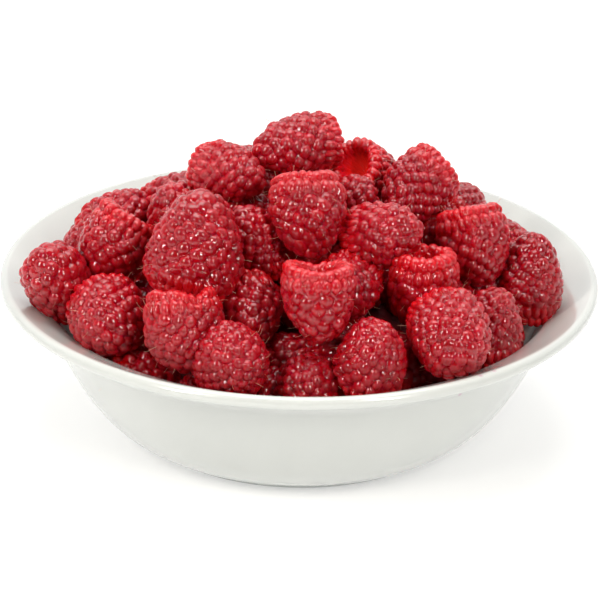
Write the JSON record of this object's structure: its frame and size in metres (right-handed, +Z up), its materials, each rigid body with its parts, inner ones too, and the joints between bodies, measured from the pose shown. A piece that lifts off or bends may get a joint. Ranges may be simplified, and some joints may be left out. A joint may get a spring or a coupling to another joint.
{
  "type": "bowl of raspberries",
  "caption": "Round white glazed bowl with a flared rim and a low foot, heaped above its rim with whole fresh raspberries.",
  "frame": {"origin": "on the table, under the middle of the bowl's foot", "axes": "+Z up, -Y towards the side that the picture shows, +X to the right of that view"},
  "size_m": [0.16, 0.16, 0.0865],
  "materials": {
    "glaze": "glossy white glaze",
    "berry": "moist, finely downy deep red fruit"
  },
  "bodies": {
    "root": {"bowl": "glaze", "raspberries": "berry"}
  },
  "joints": []
}
